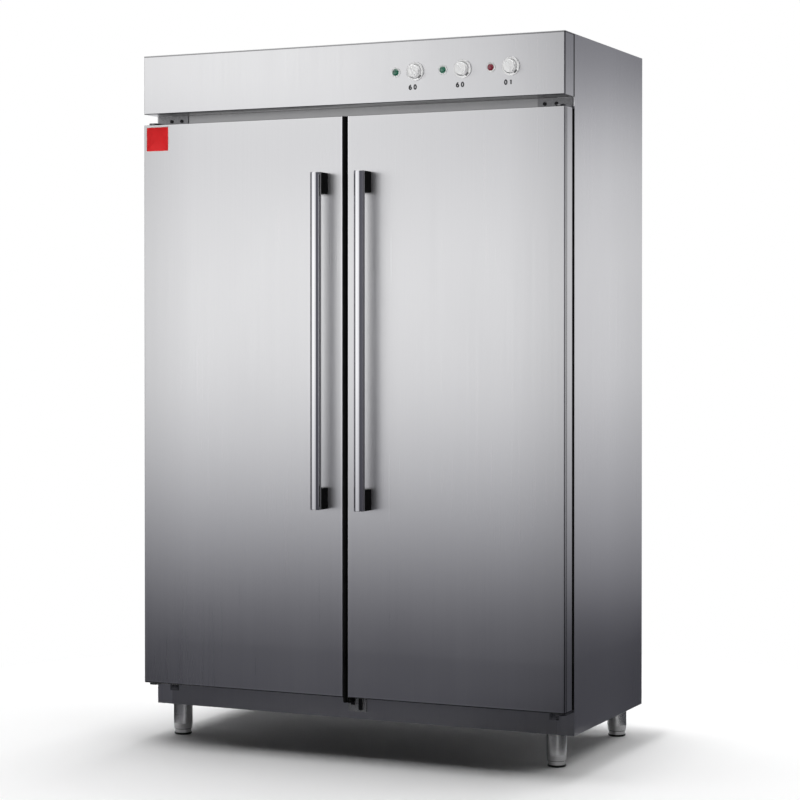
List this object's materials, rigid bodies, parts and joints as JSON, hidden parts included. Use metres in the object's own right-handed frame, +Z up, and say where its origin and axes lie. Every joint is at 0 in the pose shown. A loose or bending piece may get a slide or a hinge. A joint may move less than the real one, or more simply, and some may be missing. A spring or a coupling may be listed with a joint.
{
  "type": "dish sterilizer cabinet",
  "caption": "Tall free-standing steel cabinet with two hinged doors, bar handles, turning controls on a header box, shelved heated chambers with fans, and adjustable feet.",
  "frame": {"origin": "on the floor, under the middle of the overall box", "axes": "+X to the right of a person facing the doors, +Y from the doors to the back, +Z up"},
  "size_m": [1.2, 0.666, 1.83],
  "materials": {
    "brushed_panel": "satin",
    "liner_sheet": "satin",
    "polished_bar": "polished",
    "post_plastic": "matte",
    "seal_rubber": "matte",
    "rock_wool": "matte",
    "knob_plastic": "gloss",
    "green_lens": "gloss",
    "red_lens": "gloss",
    "foot_steel": "satin",
    "hinge_steel": "satin",
    "wire_steel": "polished",
    "heater_sheath": "matte",
    "motor_housing": "satin",
    "fan_sheet": "satin",
    "switch_plastic": "matte",
    "gland_plastic": "matte"
  },
  "bodies": {
    "cabinet": {"side_panel_left": "brushed_panel", "side_panel_right": "brushed_panel", "back_panel": "brushed_panel", "top_panel": "brushed_panel", "base_panel": "brushed_panel", "bottom_rail": "brushed_panel", "top_rail": "brushed_panel", "header_panel": "brushed_panel", "liner_side_left": "liner_sheet", "liner_side_right": "liner_sheet", "liner_back": "liner_sheet", "liner_floor": "liner_sheet", "liner_ceiling": "liner_sheet", "centre_partition": "liner_sheet", "shelf_ledges": "liner_sheet", "drip_trays": "liner_sheet", "fan_guards": "liner_sheet", "cabinet_insulation": "rock_wool", "left_chamber_lamp": "green_lens", "right_chamber_lamp": "green_lens", "power_lamp": "red_lens", "foot_sleeves": "foot_steel", "upper_left_hinge": "hinge_steel", "lower_left_hinge": "hinge_steel", "upper_right_hinge": "hinge_steel", "lower_right_hinge": "hinge_steel", "hinge_screws": "hinge_steel", "door_catch": "hinge_steel", "left_wire_shelves": "wire_steel", "right_wire_shelves": "wire_steel", "heating_elements": "heater_sheath", "fan_motors": "motor_housing", "left_chamber_timer": "switch_plastic", "right_chamber_timer": "switch_plastic", "power_switch": "switch_plastic", "control_box": "switch_plastic", "cable_gland": "gland_plastic"},
    "left_door": {"left_door_skin": "brushed_panel", "left_door_inner_panel": "liner_sheet", "left_door_insulation": "rock_wool", "left_door_gasket": "seal_rubber", "left_door_edge_seal": "seal_rubber", "left_door_handle_bar": "polished_bar", "left_door_handle_posts": "post_plastic"},
    "right_door": {"right_door_skin": "brushed_panel", "right_door_inner_panel": "liner_sheet", "right_door_insulation": "rock_wool", "right_door_gasket": "seal_rubber", "right_door_edge_seal": "seal_rubber", "right_door_handle_bar": "polished_bar", "right_door_handle_posts": "post_plastic"},
    "left_chamber_knob": {"left_chamber_knob": "knob_plastic"},
    "right_chamber_knob": {"right_chamber_knob": "knob_plastic"},
    "power_knob": {"power_knob": "knob_plastic"},
    "left_fan": {"left_fan_impeller": "fan_sheet"},
    "right_fan": {"right_fan_impeller": "fan_sheet"},
    "front_left_foot": {"front_left_foot_insert": "foot_steel"},
    "front_right_foot": {"front_right_foot_insert": "foot_steel"},
    "rear_left_foot": {"rear_left_foot_insert": "foot_steel"},
    "rear_right_foot": {"rear_right_foot_insert": "foot_steel"}
  },
  "joints": [
    {"name": "left_door_hinge", "type": "hinge", "parent": "cabinet", "child": "left_door", "pos_m": [-0.582, -0.25, 0.9], "axis": [0, 0, -1], "range_deg": [0, 120]},
    {"name": "right_door_hinge", "type": "hinge", "parent": "cabinet", "child": "right_door", "pos_m": [0.582, -0.25, 0.9], "axis": [0, 0, 1], "range_deg": [0, 120]},
    {"name": "left_chamber_knob_turn", "type": "hinge", "parent": "cabinet", "child": "left_chamber_knob", "pos_m": [0.1975, -0.275, 1.749], "axis": [0, 1, 0], "range_deg": [0, 300]},
    {"name": "right_chamber_knob_turn", "type": "hinge", "parent": "cabinet", "child": "right_chamber_knob", "pos_m": [0.3275, -0.275, 1.749], "axis": [0, 1, 0], "range_deg": [0, 300]},
    {"name": "power_knob_turn", "type": "hinge", "parent": "cabinet", "child": "power_knob", "pos_m": [0.4575, -0.275, 1.749], "axis": [0, 1, 0], "range_deg": [0, 90]},
    {"name": "left_fan_spin", "type": "hinge", "parent": "cabinet", "child": "left_fan", "pos_m": [-0.2935, 0.035, 1.59], "axis": [0, 0, 1], "continuous": true},
    {"name": "right_fan_spin", "type": "hinge", "parent": "cabinet", "child": "right_fan", "pos_m": [0.2935, 0.035, 1.59], "axis": [0, 0, 1], "continuous": true},
    {"name": "front_left_foot_screw", "type": "slide", "parent": "cabinet", "child": "front_left_foot", "axis": [0, 0, -1], "range_m": [0, 0.02]},
    {"name": "front_right_foot_screw", "type": "slide", "parent": "cabinet", "child": "front_right_foot", "axis": [0, 0, -1], "range_m": [0, 0.02]},
    {"name": "rear_left_foot_screw", "type": "slide", "parent": "cabinet", "child": "rear_left_foot", "axis": [0, 0, -1], "range_m": [0, 0.02]},
    {"name": "rear_right_foot_screw", "type": "slide", "parent": "cabinet", "child": "rear_right_foot", "axis": [0, 0, -1], "range_m": [0, 0.02]}
  ]
}
